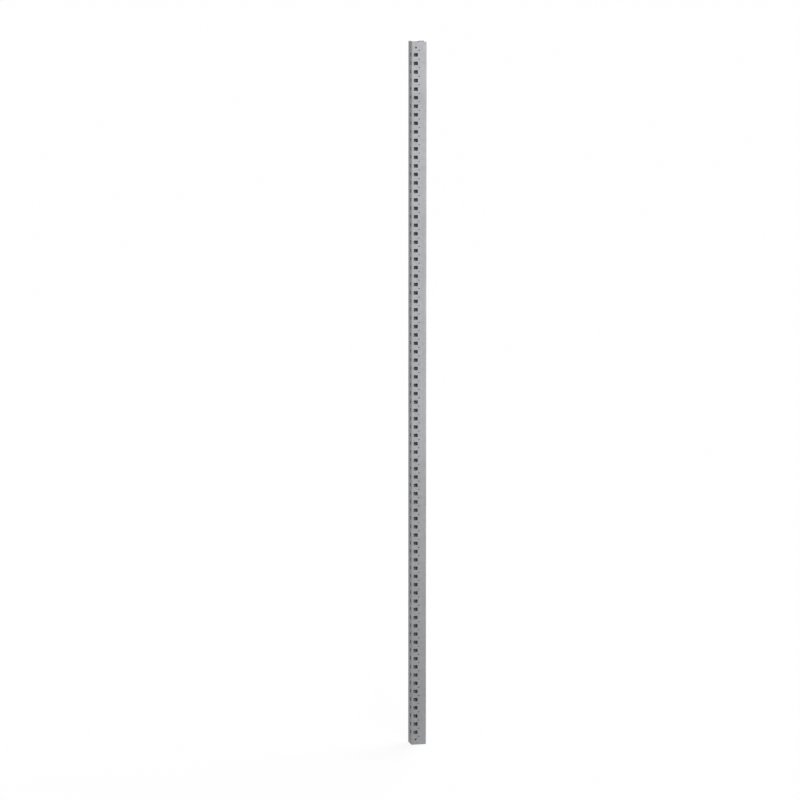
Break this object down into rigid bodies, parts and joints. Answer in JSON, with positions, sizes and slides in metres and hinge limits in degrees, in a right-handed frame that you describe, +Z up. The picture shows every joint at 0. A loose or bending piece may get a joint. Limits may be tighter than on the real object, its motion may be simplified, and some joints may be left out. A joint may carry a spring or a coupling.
{
  "type": "enclosure vertical upright",
  "caption": "Roll-formed sheet-steel corner post of an equipment enclosure frame, with perforated inner faces for rails and sealing ribs and gutters outside.",
  "frame": {"origin": "centre of the bounding box of the section, on the floor under the lower end", "axes": "+Z up the upright; the two perforated inner faces look to -Y and -X, the outer corner points to +X and +Y"},
  "size_m": [0.045, 0.045, 2.1],
  "materials": {
    "galvanised_steel": "zinc-coated sheet, satin"
  },
  "bodies": {
    "root": {"upright_profile": "galvanised_steel"}
  },
  "joints": []
}
